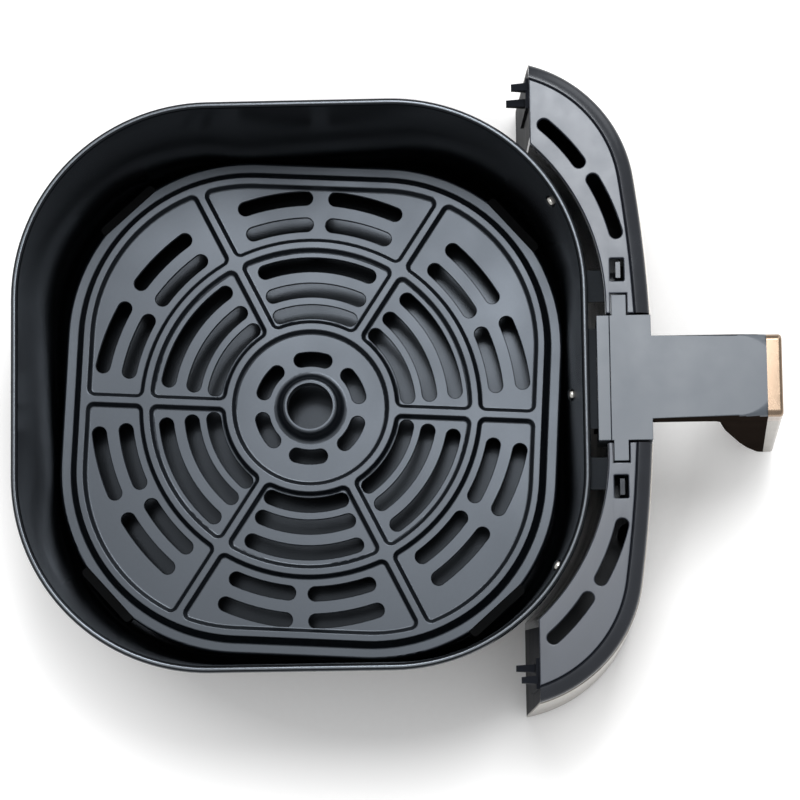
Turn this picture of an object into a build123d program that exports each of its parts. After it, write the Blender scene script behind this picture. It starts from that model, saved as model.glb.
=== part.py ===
from build123d import *
import math
import os

# Air fryer drawer. Millimetres, +Z up, origin at the centre of the pan's underside.
# The handle points towards -Y, and the drawer is symmetric left to right about X = 0,
# apart from the crisper plate, which lies a few degrees turned in the pan.

# pan
RIM_HALF_X = 126.4
RIM_HALF_Y = 127.0
RIM_RADIUS = 87.0
RIM_BEAD = 3.2
PAN_HEIGHT = 112.0
PAN_WALL = 1.0
PAN_DRAFT = 3.7
PAN_FLOOR_RADIUS = 12.0
RIM_OVERHANG = 2.0

# crisper plate
PLATE_HALF_X = 114.6
PLATE_HALF_Y = 115.0
PLATE_RADIUS = 84.0
PLATE_SHEET = 2.0
PANEL_Z = 24.0
FLANGE_Z = 21.5
PLATE_SKIRT = 8.0
SKIRT_WALL = 1.6
PLATE_TURN = -3.3
RIB_HEIGHT = 3.0
RIB_WIDTH = 3.2
RIB_DRAFT = 25.0
PANEL_CORNER = 3.5
RIB_FOOT_RADIUS = 1.0
RIB_EDGE_RADIUS = 0.7
FLANGE_EDGE_RADIUS = 1.2
SLOT_EDGE = 0.3
RIB_OUTLINE_HALF = 105.2
RIB_OUTLINE_RADIUS = 75.0
INNER_RING_RADIUS = 37.7
MIDDLE_RING_RADIUS = 76.0
SPOKES = 6
SLOT_WIDTH = 6.6
HUB_SLOTS = (22.8, 28.0)
INNER_SLOTS = (45.1, 55.2, 67.1)
INNER_SLOT_SWEEP = 42.0
OUTER_SLOTS = (86.0, 98.5)
OUTER_SLOT_SWEEP = 16.6
OUTER_SLOT_OFFSET = 12.4
HUB_HOLE_RADIUS = 10.7
HUB_TOP_RADIUS = 12.0
HUB_FOOT_RADIUS = 17.0
HUB_HEIGHT = 8.0

# silicone bumpers on the plate's corners
BUMPER_LENGTH = 32.0
BUMPER_PROUD = 2.0
BUMPER_GRIP = 2.2
BUMPER_HEIGHT = 7.5
BUMPER_DROP = 0.5

# front panel, called the fascia
FASCIA_FRONT = 154.3
BOW_RADIUS = 620.0
CORNER_RADIUS = 62.0
CORNER_X = 81.0
FASCIA_END_Y = -97.0
COVER_END_Y = -103.0
FASCIA_BOTTOM = 3.0
FASCIA_TOP = 109.0
SHELL_WALL = 3.0
BAND_WIDTH = 6.2
BAND_DROP = 2.4
COVER_THICK = 3.0
COVER_LEDGE = 2.0
LEDGE_THICK = 3.0
SKIN_THICK = 0.8
SKIN_TOP = 101.0
INNER_HALF_X = 130.9
INNER_HALF_Y = 134.8
INNER_RADIUS = 98.0
BACK_WALL = 2.5
BACK_DRAFT = 4.5
VENT_WIDTH = 5.8
VENTS = (((113.3, -109.2), (105.8, -116.9), (96.4, -124.3)), ((88.2, -130.3), (77.4, -135.6), (64.6, -139.9)))
WINDOW_X = 47.9
WINDOW_Y = -140.0
WINDOW_SIZE = (10.2, 6.2)
LOCATOR_X = (121.8, 135.2)
LOCATOR_Z = (62.0, 105.5)
LOCATOR_THICK = 1.4
PRONG_FOOT_Y = -102.0
PRONGS = ((131.25, 104.0, -95.0), (125.75, 96.0, -92.7))
PRONG_FOOT = (3.6, 5.0)
PRONG_TIP = (2.6, 3.6)

# handle
ROOT_HALF = 27.6
ROOT_BACK_Y = -130.5
ROOT_SEAM_Y = -136.2
ROOT_BOTTOM = 85.0
ROOT_GAP = 1.0
TONGUE_X = 36.6
TONGUE_Y = (-137.2, -143.6)
TONGUE_BOTTOM = 104.0
ARM_HALF = 18.3
SHELL_SPLIT = 100.0
ARM_BOTTOM = 92.0
FACE_SPLIT = 92.0
GRIP_BOTTOM = 3.0
FACE_BACK = ((-204.6, FASCIA_TOP), (-209.0, GRIP_BOTTOM))
FACE_FRONT = ((-211.4, FASCIA_TOP), (-213.6, GRIP_BOTTOM))
GRIP_BACK = ((-184.5, ARM_BOTTOM), (-192.6, 48.0), (-199.0, 18.0), (-209.0, GRIP_BOTTOM))
CORE_HALF = 10.0
CORE_HEIGHT = 6.0
CORE_END_Y = -196.0

# fasteners
RIVET_RADIUS = 2.0
RIVET_HEAD = 2.8
RIVET_Z_SIDE = 97.0
RIVET_Z_MIDDLE = 55.0
RIVET_X = 81.0
FIT_GAP = 0.05
SCREW_RADIUS = 1.5
SCREW_HEAD = 2.8
SCREW_HEAD_HEIGHT = 2.0
BRACKET_THICK = 1.5
BRACKET_HALF = 92.0
BRACKET_LOW = 86.0
BRACKET_HIGH = 106.0
TAB_X = 41.5
TAB_Z = 102.0
FLANGE_HALF = 22.0
BRACKET_SCREW_X = 16.0
BRACKET_SCREW_Z = 94.0
SCREW_PLACES = (-162.0, -175.0)


def box(x, y, z):
    """A box from its lowest and highest values along each axis."""
    size = (x[1] - x[0], y[1] - y[0], z[1] - z[0])
    middle = ((x[0] + x[1]) / 2, (y[0] + y[1]) / 2, (z[0] + z[1]) / 2)
    return Pos(*middle) * Box(*size)


def rod(radius, low, high, x=0.0, y=0.0):
    """An upright cylinder between two heights."""
    return Pos(x, y, (low + high) / 2) * Cylinder(radius, high - low)


def bowl(half_x, half_y, radius, top, bottom, draft, edge=0.0):
    """A rounded rectangle at the top that narrows downwards, with an optional rounded foot."""
    outline = Plane.XY.offset(top) * RectangleRounded(2 * half_x, 2 * half_y, radius)
    body = extrude(outline, amount=-(top - bottom), taper=draft)
    if edge:
        body = fillet(body.faces().sort_by(Axis.Z)[0].edges(), edge)
    return body


def pan_outside(extra=0.0, edge=PAN_FLOOR_RADIUS):
    """The pan's outer wall as a solid, made larger all round by extra."""
    inset = RIM_OVERHANG - extra
    return bowl(
        RIM_HALF_X - inset, RIM_HALF_Y - inset, RIM_RADIUS - inset, PAN_HEIGHT, 0.0, PAN_DRAFT, edge
    )


def rivet_planes():
    """Planes on the pan's inner front wall, one for each rivet, each facing out of the pan."""
    inset = RIM_OVERHANG + PAN_WALL
    fall = math.tan(math.radians(PAN_DRAFT))
    planes = []
    for x, z in ((-RIVET_X, RIVET_Z_SIDE), (0.0, RIVET_Z_MIDDLE), (RIVET_X, RIVET_Z_SIDE)):
        shrink = inset + (PAN_HEIGHT - z) * fall
        across = max(abs(x) - (RIM_HALF_X - RIM_RADIUS), 0.0)
        radius = RIM_RADIUS - shrink
        y = -(RIM_HALF_Y - RIM_RADIUS) - math.sqrt(radius**2 - across**2)
        turn = math.asin(across / radius) * (1 if x > 0 else -1)
        out = (math.sin(turn), -math.cos(turn), -fall)
        planes.append(Plane(origin=(x, y, z), z_dir=out))
    return planes


def rivet_holes():
    return [plane * Cylinder(RIVET_RADIUS, 12.0) for plane in rivet_planes()]


def pan():
    inset = RIM_OVERHANG + PAN_WALL
    inside = bowl(
        RIM_HALF_X - inset,
        RIM_HALF_Y - inset,
        RIM_RADIUS - inset,
        PAN_HEIGHT,
        PAN_WALL,
        PAN_DRAFT,
        PAN_FLOOR_RADIUS - PAN_WALL,
    )
    rim = Plane.XY.offset(PAN_HEIGHT - RIM_BEAD) * (
        RectangleRounded(2 * RIM_HALF_X, 2 * RIM_HALF_Y, RIM_RADIUS)
        - RectangleRounded(2 * (RIM_HALF_X - inset), 2 * (RIM_HALF_Y - inset), RIM_RADIUS - inset)
    )
    bead = extrude(rim, amount=RIM_BEAD)
    bead = fillet(bead.edges().group_by(Axis.Z)[-1], 1.4)
    shell = pan_outside() - inside
    shell -= box((-200, 200), (-200, 200), (PAN_HEIGHT - RIM_BEAD, PAN_HEIGHT + 1))
    body = shell + bead
    for hole in rivet_holes():
        body -= hole
    return body


def pan_rivets():
    """Domed head inside the pan, shank through the wall and bracket, flat head behind."""
    rivets = []
    through = PAN_WALL + BRACKET_THICK
    for plane in rivet_planes():
        dome = Sphere(RIVET_HEAD) & Pos(0, 0, -RIVET_HEAD / 2) * Box(9, 9, RIVET_HEAD)
        dome = scale(dome, by=(1, 1, 0.6))
        shank = Pos(0, 0, through / 2) * Cylinder(RIVET_RADIUS - FIT_GAP, through)
        back = Pos(0, 0, through + 0.6) * Cylinder(RIVET_HEAD, 1.2)
        rivets.append(plane * (dome + shank + back))
    return Compound(children=rivets)


def pan_bracket():
    """Steel strip on the pan's front wall, with a tongue down, two tabs and an upright flange."""
    strip = pan_outside(BRACKET_THICK, 0.0) - pan_outside(0.0, 0.0)
    high = BRACKET_HIGH
    reach = box((-BRACKET_HALF, BRACKET_HALF), (-200, -60), (BRACKET_LOW, high))
    reach += box((-14, 14), (-200, -60), (RIVET_Z_MIDDLE - 10, high))
    tab = box((TAB_X - 7, TAB_X + 7), (-150, -118), (TAB_Z, TAB_Z + BRACKET_THICK))
    tab &= inner_block()
    upright = ROOT_BACK_Y + BRACKET_THICK
    web = box((-FLANGE_HALF, FLANGE_HALF), (ROOT_BACK_Y, -118), (high - BRACKET_THICK, high))
    flange = box((-FLANGE_HALF, FLANGE_HALF), (ROOT_BACK_Y, upright), (BRACKET_LOW, high))
    forward = tab + mirror(tab, about=Plane.YZ) + web + flange
    body = (strip & reach) + (forward - pan_outside(0.0, 0.0))
    for hole in rivet_holes() + bracket_screw_holes(SCREW_RADIUS + 0.2):
        body -= hole
    return body


def bracket_screw_holes(radius):
    """Holes that run forward through the bracket's flange into the handle's root."""
    low, high = ROOT_SEAM_Y - 8.0, ROOT_BACK_Y + 8.0
    hole = Rot(90, 0, 0) * Cylinder(radius, high - low)
    return [Pos(x, (low + high) / 2, BRACKET_SCREW_Z) * hole for x in (-BRACKET_SCREW_X, BRACKET_SCREW_X)]


def bracket_screws():
    start = ROOT_BACK_Y + BRACKET_THICK + SCREW_HEAD_HEIGHT
    turned = [
        Pos(x, start, BRACKET_SCREW_Z) * Rot(90, 0, 0) * screw(12.0)
        for x in (-BRACKET_SCREW_X, BRACKET_SCREW_X)
    ]
    return Compound(children=turned)


def plate_flat(half_x, half_y, radius):
    return RectangleRounded(2 * half_x, 2 * half_y, radius)


def arc_slot(radius, middle, sweep, width=SLOT_WIDTH):
    """A slot with round ends along an arc about the plate's centre, angles in degrees."""
    path = CenterArc((0, 0), radius, middle - sweep / 2, sweep)
    return SlotArc(path, width)


def sector(inner, outer, middle, half_rib):
    """The area of one panel between two ring radii and two spokes, with rounded corners."""
    reach = 2 * PLATE_HALF_X
    half = math.radians(180.0 / SPOKES)
    spread = reach * math.tan(half)
    wedge = Pos(-half_rib / math.sin(half), 0) * Polygon((0, 0), (-reach, spread), (-reach, -spread), align=None)
    area = (wedge & Circle(outer)) - Circle(inner)
    return Rot(0, 0, middle + 180.0) * area


def sector_middles():
    """Directions of the middles of the six sectors; one spoke points straight to the front."""
    step = 360.0 / SPOKES
    return [step * (number + 0.5) - 90.0 for number in range(SPOKES)]


def panels():
    """The sunken panels between the ribs: an inner and an outer one in each sector."""
    half_rib = RIB_WIDTH / 2
    half = RIB_OUTLINE_HALF - half_rib
    edge = plate_flat(half, half, RIB_OUTLINE_RADIUS - half_rib)
    found = []
    for middle in sector_middles():
        inner = sector(INNER_RING_RADIUS + half_rib, MIDDLE_RING_RADIUS - half_rib, middle, half_rib)
        outer = sector(MIDDLE_RING_RADIUS + half_rib, PLATE_RADIUS * 3, middle, half_rib) & edge
        for area in (inner, outer):
            found.append(round_corners(area, PANEL_CORNER))
    return found


def round_corners(area, radius):
    """An outline with its corners rounded, by moving it inwards and out again."""
    shrunk = offset(area, -radius, kind=Kind.INTERSECTION)
    return offset(shrunk, radius, kind=Kind.ARC)


def slot_areas():
    """The slots of the hub, the inner panels and the outer panels."""
    areas = []
    for middle in sector_middles():
        areas.append(arc_slot(HUB_SLOTS[0], middle, HUB_SLOTS[1]))
        for radius in INNER_SLOTS:
            areas.append(arc_slot(radius, middle, INNER_SLOT_SWEEP))
        for radius in OUTER_SLOTS:
            for offset in (-OUTER_SLOT_OFFSET, OUTER_SLOT_OFFSET):
                areas.append(arc_slot(radius, middle + offset, OUTER_SLOT_SWEEP))
    return areas


def crisper_plate():
    panel_top = PANEL_Z + PLATE_SHEET
    rib_top = panel_top + RIB_HEIGHT
    flange_top = FLANGE_Z + PLATE_SHEET
    full = plate_flat(PLATE_HALF_X, PLATE_HALF_Y, PLATE_RADIUS)
    flange = extrude(Plane.XY.offset(FLANGE_Z) * full, amount=PLATE_SHEET)
    half_rib = RIB_WIDTH / 2
    spread = half_rib + (rib_top - flange_top) * math.tan(math.radians(RIB_DRAFT))
    half = RIB_OUTLINE_HALF + spread
    raised = extrude(
        Plane.XY.offset(flange_top) * plate_flat(half, half, RIB_OUTLINE_RADIUS + spread),
        amount=rib_top - flange_top,
        taper=RIB_DRAFT,
    )
    raised_plane = Plane.XY.offset(rib_top)
    for area in panels() + [Circle(INNER_RING_RADIUS - half_rib)]:
        pocket = extrude(raised_plane * area, amount=-RIB_HEIGHT, taper=RIB_DRAFT)
        raised -= fillet(pocket.faces().sort_by(Axis.Z)[0].edges(), RIB_FOOT_RADIUS)
    raised = fillet(raised.edges().group_by(Axis.Z)[-1], RIB_EDGE_RADIUS)
    half = RIB_OUTLINE_HALF - half_rib
    recess = Plane.XY.offset(FLANGE_Z) * plate_flat(half, half, RIB_OUTLINE_RADIUS - half_rib)
    recess = extrude(recess, amount=PANEL_Z - FLANGE_Z)
    inside = (PLATE_HALF_X - SKIRT_WALL, PLATE_HALF_Y - SKIRT_WALL, PLATE_RADIUS - SKIRT_WALL)
    skirt = Plane.XY.offset(FLANGE_Z - PLATE_SKIRT) * (full - plate_flat(*inside))
    body = flange + raised - recess + extrude(skirt, amount=PLATE_SKIRT)
    rim_edges = body.edges().filter_by_position(Axis.Z, flange_top - 0.01, flange_top + 0.01)
    outline = rim_edges.sort_by(SortBy.DISTANCE, reverse=True)[:8]
    body = fillet(outline, FLANGE_EDGE_RADIUS)
    slots = [extrude(Plane.XY.offset(FLANGE_Z) * area, amount=2 * RIB_HEIGHT) for area in slot_areas()]
    lips = [flared_lip(Plane.XY.offset(panel_top) * area) for area in slot_areas()]
    seats = [Rot(0, 0, 90 * number) * bumper_seat() for number in range(4)]
    for cut in slots + lips + seats + [rod(HUB_HOLE_RADIUS, FLANGE_Z, 2 * PANEL_Z)]:
        body -= cut
    return Rot(0, 0, PLATE_TURN) * (body + hub_collar(panel_top))


def flared_lip(area):
    """A thin tapered cutter that breaks the sharp edge round a slot."""
    return extrude(offset(area, SLOT_EDGE, kind=Kind.ARC), amount=-2 * SLOT_EDGE, taper=45.0)


def hub_collar(low):
    """The smooth raised collar round the lift hole, a profile turned about the middle."""
    high = low + HUB_HEIGHT
    wall = PLATE_SHEET
    inside = HUB_HOLE_RADIUS
    profile = [
        Line((inside, low - wall), (inside, high)),
        Line((inside, high), (HUB_TOP_RADIUS - 0.5, high)),
        Spline(
            (HUB_TOP_RADIUS - 0.5, high),
            (HUB_TOP_RADIUS + 1.2, high - 1.4),
            (HUB_FOOT_RADIUS, low),
            tangents=[(1, 0), (1, 0)],
        ),
        Line((HUB_FOOT_RADIUS, low), (HUB_FOOT_RADIUS, low - wall)),
        Line((HUB_FOOT_RADIUS, low - wall), (inside, low - wall)),
    ]
    return revolve(Plane.XZ * make_face(profile), Axis.Z)



def corner_reach():
    """Distance from the plate's centre to its edge along a diagonal."""
    return (PLATE_HALF_X - PLATE_RADIUS) * math.sqrt(2) + PLATE_RADIUS


def bumper_seat():
    """The notch in the plate's corner that holds one bumper."""
    reach = corner_reach()
    half = BUMPER_LENGTH / 2
    notch = box((reach - BUMPER_GRIP, reach + BUMPER_PROUD), (-half, half), (0.0, 2 * FLANGE_Z))
    return Rot(0, 0, 45) * notch


def plate_bumper(number):
    """One silicone bumper, a slightly curved pad that stands proud of the plate's corner."""
    reach = corner_reach()
    half = BUMPER_LENGTH / 2
    high = FLANGE_Z + PLATE_SHEET - BUMPER_DROP
    pad = box((reach - BUMPER_GRIP, reach + BUMPER_PROUD), (-half, half), (high - BUMPER_HEIGHT, high))
    pad = fillet(pad.edges().filter_by(Axis.Z).sort_by(Axis.X)[-2:], 2.0)
    return Rot(0, 0, PLATE_TURN + 45 + 90 * number) * pad


def fascia_area(offset, end_y):
    """The front panel's outline moved outwards by offset, closed by a line at end_y."""
    bow_y = BOW_RADIUS - FASCIA_FRONT
    centre_y = bow_y - math.sqrt((BOW_RADIUS - CORNER_RADIUS) ** 2 - CORNER_X**2)
    radius = CORNER_RADIUS + offset
    start = math.atan2(centre_y - bow_y, CORNER_X)
    stop = math.asin((end_y - centre_y) / radius)

    def on_corner(angle, side):
        return (side * (CORNER_X + radius * math.cos(angle)), centre_y + radius * math.sin(angle))

    middle = (start + stop) / 2
    edges = [
        Line(on_corner(stop, -1), on_corner(stop, 1)),
        ThreePointArc(on_corner(stop, 1), on_corner(middle, 1), on_corner(start, 1)),
        ThreePointArc(on_corner(start, 1), (0, -FASCIA_FRONT - offset), on_corner(start, -1)),
        ThreePointArc(on_corner(start, -1), on_corner(middle, -1), on_corner(stop, -1)),
    ]
    return make_face(edges)


def fascia_block(offset, end_y, low, high):
    return extrude(Plane.XY.offset(low) * fascia_area(offset, end_y), amount=high - low)


def inner_block(extra=0.0):
    """The space between the front panel and the pan, made larger all round by extra."""
    top = FASCIA_TOP + 1.0
    grow = math.tan(math.radians(BACK_DRAFT))
    extra_top = extra + grow
    return bowl(
        INNER_HALF_X + extra_top,
        INNER_HALF_Y + extra_top,
        INNER_RADIUS + extra_top,
        top,
        FASCIA_BOTTOM - 1.0,
        BACK_DRAFT,
    )


def before_end(gap=0.0):
    """Everything in front of the panel's sloping end faces, moved forwards by gap."""
    beyond = 20.0
    lean = (COVER_END_Y - FASCIA_END_Y) / (FASCIA_TOP - FASCIA_BOTTOM) * beyond
    high = (COVER_END_Y - gap + lean, FASCIA_TOP + beyond)
    low = (FASCIA_END_Y - gap - lean, FASCIA_BOTTOM - beyond)
    face = make_face(Polyline(high, (-300, high[1]), (-300, low[1]), low, close=True))
    return side_prism(face, 200)


def root_notch():
    """The space that the handle's root takes out of the front panel."""
    half = ROOT_HALF + ROOT_GAP
    return box((-half, half), (-200, -100), (ROOT_BOTTOM, 140))


def boss_places():
    """Places of the four screw bosses beside the front panel's outer wall."""
    bow_y = BOW_RADIUS - FASCIA_FRONT
    inset = 6.5
    side_x = 60.0
    side_y = bow_y - math.sqrt((BOW_RADIUS - inset) ** 2 - side_x**2)
    corner_y = bow_y - math.sqrt((BOW_RADIUS - CORNER_RADIUS) ** 2 - CORNER_X**2)
    angle = math.radians(-35.0)
    end_x = CORNER_X + (CORNER_RADIUS - inset) * math.cos(angle)
    end_y = corner_y + (CORNER_RADIUS - inset) * math.sin(angle)
    return [(-end_x, end_y), (-side_x, side_y), (side_x, side_y), (end_x, end_y)]


def fascia_shell():
    ledge_top = FASCIA_TOP - COVER_THICK
    ledge_low = ledge_top - LEDGE_THICK
    body = fascia_block(0.0, FASCIA_END_Y, FASCIA_BOTTOM, FASCIA_TOP)
    top_edges = body.edges().group_by(Axis.Z)[-1].filter_by(GeomType.CIRCLE)
    body = chamfer(top_edges, BAND_WIDTH - 0.6, BAND_DROP, reference=body.faces().sort_by(Axis.Z)[-1])
    body -= fascia_block(-BAND_WIDTH, -60, ledge_top, FASCIA_TOP + 1)
    body &= before_end()
    hollow = fascia_block(-BAND_WIDTH - COVER_LEDGE, -60, ledge_low, ledge_top)
    hollow += fascia_block(-SHELL_WALL, -60, FASCIA_BOTTOM - 1, ledge_low)
    body -= hollow & before_end(BACK_WALL)
    for x, y in boss_places():
        body += rod(4.2, FASCIA_BOTTOM + BACK_WALL, 22.0, x, y)
    body -= inner_block(BACK_WALL)
    body -= root_notch()
    for x, y in boss_places():
        body -= rod(SCREW_RADIUS, 0.0, 17.0, x, y)
    return body


def fascia_skin():
    body = fascia_block(SKIN_THICK, FASCIA_END_Y, FASCIA_BOTTOM, SKIN_TOP)
    body -= fascia_block(0.0, -60, 0.0, 140)
    return (body & before_end()) - root_notch()


def fascia_top_cover(side):
    low = FASCIA_TOP - COVER_THICK
    body = fascia_block(-BAND_WIDTH, COVER_END_Y, low, FASCIA_TOP) - inner_block() - root_notch()
    cuts = []
    for points in VENTS:
        vent = SlotArc(ThreePointArc(*points), VENT_WIDTH)
        cuts.append(extrude(Plane.XY.offset(low - 1) * vent, amount=8))
    window = (WINDOW_X - WINDOW_SIZE[0] / 2, WINDOW_X + WINDOW_SIZE[0] / 2)
    depth = (WINDOW_Y - WINDOW_SIZE[1] / 2, WINDOW_Y + WINDOW_SIZE[1] / 2)
    cuts.append(box(window, depth, (low - 1, FASCIA_TOP + 1)))
    cuts.append(box((0, TONGUE_X + 0.8), (TONGUE_Y[1] - 0.5, TONGUE_Y[0] + 0.5), (low - 1, FASCIA_TOP + 1)))
    for cut in cuts:
        body -= cut
    body &= box((0, 200), (-200, 0), (0, 2 * FASCIA_TOP))
    return body if side > 0 else mirror(body, about=Plane.YZ)


def fascia_back_cover():
    top = FASCIA_TOP - COVER_THICK
    body = inner_block(BACK_WALL) - inner_block()
    body &= fascia_block(0.0, FASCIA_END_Y, FASCIA_BOTTOM, top)
    body &= before_end()
    hook = box((WINDOW_X - 3.5, WINDOW_X + 3.5), (-141.5, -139.5), (top - 30, FASCIA_TOP - 1.2))
    hook += box((WINDOW_X - 3.5, WINDOW_X + 3.5), (-139.6, -132.0), (top - 30, top - 27))
    hook -= inner_block(BACK_WALL - 0.5)
    body = body + hook + mirror(hook, about=Plane.YZ)
    return body - root_notch()


def fascia_base_cover():
    high = FASCIA_BOTTOM + BACK_WALL
    body = fascia_block(-SHELL_WALL, -60, FASCIA_BOTTOM, high) & before_end(BACK_WALL)
    body -= inner_block(BACK_WALL)
    for x, y in boss_places():
        body -= rod(SCREW_RADIUS + 0.2, 0.0, 10.0, x, y)
        body -= rod(SCREW_HEAD + 0.2, 0.0, FASCIA_BOTTOM + 1.5, x, y)
    return body


def screw(length):
    """A pan-head screw pointing up from the origin, head below, with a cross recess."""
    head = rod(SCREW_HEAD, 0.0, SCREW_HEAD_HEIGHT)
    head = fillet(head.edges().group_by(Axis.Z)[0], 0.9)
    shank = rod(SCREW_RADIUS - FIT_GAP, SCREW_HEAD_HEIGHT, SCREW_HEAD_HEIGHT + length)
    shank = chamfer(shank.edges().group_by(Axis.Z)[-1], 0.6)
    body = head + shank
    for turn in (0, 90):
        body -= Rot(0, 0, turn) * box((-1.6, 1.6), (-0.35, 0.35), (-1, 1.0))
    return body


def fascia_screws():
    low = FASCIA_BOTTOM + 1.5 - SCREW_HEAD_HEIGHT
    return Compound(children=[Pos(x, y, low) * screw(11.0) for x, y in boss_places()])


def locator(side):
    """A mounting pad on the front panel's end wall with two tapered prongs to the rear."""
    pad = box(LOCATOR_X, (FASCIA_END_Y - 15, FASCIA_END_Y + 15), LOCATOR_Z)
    body = (pad - before_end()) & before_end(-LOCATOR_THICK)
    for x, z, tip_y in PRONGS:
        foot = Plane.XZ.offset(-PRONG_FOOT_Y) * Pos(x, z) * Rectangle(*PRONG_FOOT)
        tip = Plane.XZ.offset(-tip_y) * Pos(x, z) * Rectangle(*PRONG_TIP)
        body += loft([foot, tip])
    return body if side > 0 else mirror(body, about=Plane.YZ)


def core_space():
    """The channel through the root and arm that the steel core fills."""
    tall = CORE_HEIGHT / 2
    return box((-CORE_HALF, CORE_HALF), (CORE_END_Y, ROOT_BACK_Y), (SHELL_SPLIT - tall, SHELL_SPLIT + tall))


def face_profile(points_back, points_front):
    outline = Polyline(points_back[0], points_front[0], points_front[1], points_back[1], close=True)
    return make_face(outline)


def side_prism(face, half):
    """A solid from a face drawn in Y and Z, as wide as half to each side."""
    plane = Plane(origin=(-half, 0, 0), x_dir=(0, 1, 0), z_dir=(1, 0, 0))
    return extrude(plane * face, amount=2 * half)


def handle_face():
    body = side_prism(face_profile(FACE_BACK, FACE_FRONT), ARM_HALF)
    front = body.faces().sort_by(Axis.Y)[0]
    return fillet(front.edges(), 1.6)


def handle_cap():
    return handle_face() & box((-40, 40), (-300, -100), (FACE_SPLIT, 140))


def handle_face_plate():
    return handle_face() & box((-40, 40), (-300, -100), (0, FACE_SPLIT))


def handle_upper_shell():
    """Root block, tongues and arm down to the joint between the two shells."""
    root = box((-ROOT_HALF, ROOT_HALF), (-FASCIA_FRONT, ROOT_SEAM_Y), (ROOT_BOTTOM, FASCIA_TOP))
    root = fillet(root.edges().filter_by(Axis.Z).group_by(Axis.Y)[0], 1.5)
    tongue = box((-TONGUE_X, TONGUE_X), (TONGUE_Y[1], TONGUE_Y[0]), (TONGUE_BOTTOM, FASCIA_TOP))
    arm = box((-ARM_HALF, ARM_HALF), (FACE_BACK[0][0] - 5, ROOT_SEAM_Y - 5), (SHELL_SPLIT, FASCIA_TOP))
    arm = arm - handle_face_space()
    side_edges = arm.edges().filter_by(Axis.Y).group_by(Axis.Z)[-1]
    arm = fillet(side_edges, 2.0)
    body = root + tongue + arm - core_space()
    for hole in bracket_screw_holes(SCREW_RADIUS):
        body -= hole
    return body


def handle_face_space():
    """Everything in front of the plane where the cap and face plate start."""
    (high_y, high_z), (low_y, low_z) = FACE_BACK
    beyond = 20.0
    lean = (high_y - low_y) / (high_z - low_z) * beyond
    high = (high_y + lean, high_z + beyond)
    low = (low_y - lean, low_z - beyond)
    face = make_face(Polyline(high, (-260, high[1]), (-260, low[1]), low, close=True))
    return side_prism(face, 60)


def handle_lower_shell():
    """Underside of the arm and the grip that hangs from its end."""
    arm = box((-ARM_HALF, ARM_HALF), (-215, -FASCIA_FRONT), (ARM_BOTTOM, SHELL_SPLIT))
    curve = Spline(*GRIP_BACK, tangents=[(-0.08, -1.0), (-1.0, -0.5)])
    outline = [
        curve,
        Line(GRIP_BACK[-1], (-230, GRIP_BOTTOM)),
        Line((-230, GRIP_BOTTOM), (-230, ARM_BOTTOM)),
        Line((-230, ARM_BOTTOM), GRIP_BACK[0]),
    ]
    grip = side_prism(make_face(outline), ARM_HALF)
    body = (arm + grip) - handle_face_space()
    body -= core_space()
    for y in SCREW_PLACES:
        body -= rod(SCREW_RADIUS + 0.2, 0.0, SHELL_SPLIT, 0.0, y)
        body -= rod(SCREW_HEAD + 0.2, 0.0, ARM_BOTTOM + SCREW_HEAD_HEIGHT, 0.0, y)
    return body


def handle_core():
    body = core_space()
    for y in SCREW_PLACES:
        body -= rod(SCREW_RADIUS, 0.0, 140.0, 0.0, y)
    return body


def handle_screws():
    return Compound(children=[Pos(0, y, ARM_BOTTOM) * screw(6.0) for y in SCREW_PLACES])


def handle_rear_plate():
    """Closing plate at the back of the handle's root, behind the seam."""
    body = box((-ROOT_HALF, ROOT_HALF), (ROOT_SEAM_Y, ROOT_BACK_Y), (ROOT_BOTTOM, FASCIA_TOP))
    body -= core_space()
    for hole in bracket_screw_holes(SCREW_RADIUS + 0.2):
        body -= hole
    return body


def main():
    os.makedirs("parts", exist_ok=True)
    nodes = {
        "pan": pan(),
        "pan_rivets": pan_rivets(),
        "pan_bracket": pan_bracket(),
        "bracket_screws": bracket_screws(),
        "crisper_plate": crisper_plate(),
        "fascia_shell": fascia_shell(),
        "fascia_skin": fascia_skin(),
        "fascia_cover_right": fascia_top_cover(1),
        "fascia_cover_left": fascia_top_cover(-1),
        "fascia_back_cover": fascia_back_cover(),
        "fascia_base_cover": fascia_base_cover(),
        "fascia_screws": fascia_screws(),
        "locator_right": locator(1),
        "locator_left": locator(-1),
        "handle_rear_plate": handle_rear_plate(),
        "handle_upper_shell": handle_upper_shell(),
        "handle_lower_shell": handle_lower_shell(),
        "handle_core": handle_core(),
        "handle_screws": handle_screws(),
        "handle_cap": handle_cap(),
        "handle_face_plate": handle_face_plate(),
    }
    for number, name in enumerate(("rear_right", "rear_left", "front_left", "front_right")):
        nodes["plate_bumper_" + name] = plate_bumper(number)
    for name, shape in nodes.items():
        export_step(shape, "parts/" + name + ".step")


main()
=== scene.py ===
import math

import bmesh
import bpy
from bpy.props import FloatProperty, FloatVectorProperty, IntProperty, PointerProperty
from mathutils import Matrix, Vector


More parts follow.
